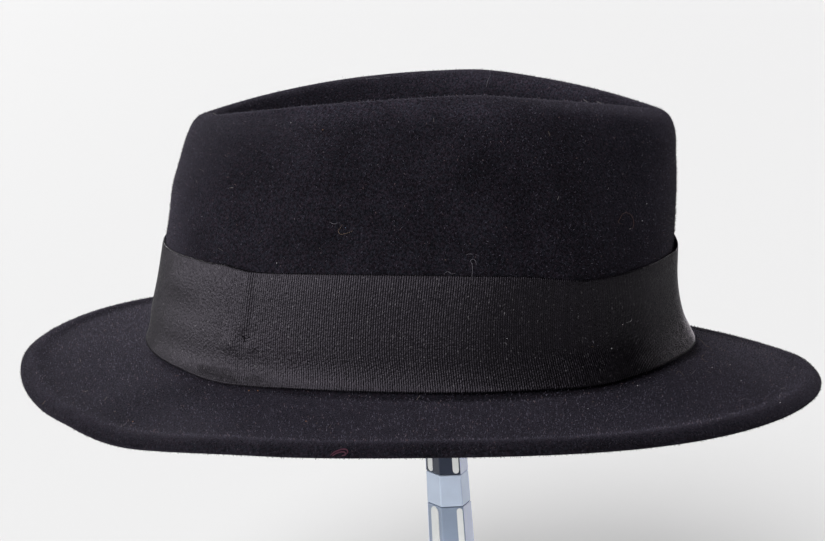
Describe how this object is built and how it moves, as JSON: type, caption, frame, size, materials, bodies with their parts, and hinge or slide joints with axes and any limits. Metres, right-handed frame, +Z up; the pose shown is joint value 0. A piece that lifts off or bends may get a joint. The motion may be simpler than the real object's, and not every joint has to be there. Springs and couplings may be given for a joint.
{
  "type": "fedora on a display stand",
  "caption": "Black felt fedora with a teardrop crease and a wide ribbed ribbon, seated on a slim post stand with a round base.",
  "frame": {"origin": "centre of the underside of the stand's round base, on the surface that it rests on", "axes": "+Z up, +X towards the front of the hat, +Y towards its left side"},
  "size_m": [0.3091, 0.2715, 0.2872],
  "materials": {
    "felt": "black wool felt, short fuzz",
    "ribbon": "black ribbed ribbon, dull sheen",
    "pale_plastic": "pale blue-grey, satin",
    "mid_plastic": "blue-grey, satin",
    "slate_plastic": "dark slate, satin"
  },
  "bodies": {
    "root": {"felt_body": "felt", "ribbon_band": "ribbon", "base_plate": "pale_plastic", "post_lower": "mid_plastic", "post_collar": "pale_plastic", "post_upper": "slate_plastic", "top_pad": "pale_plastic"}
  },
  "joints": []
}
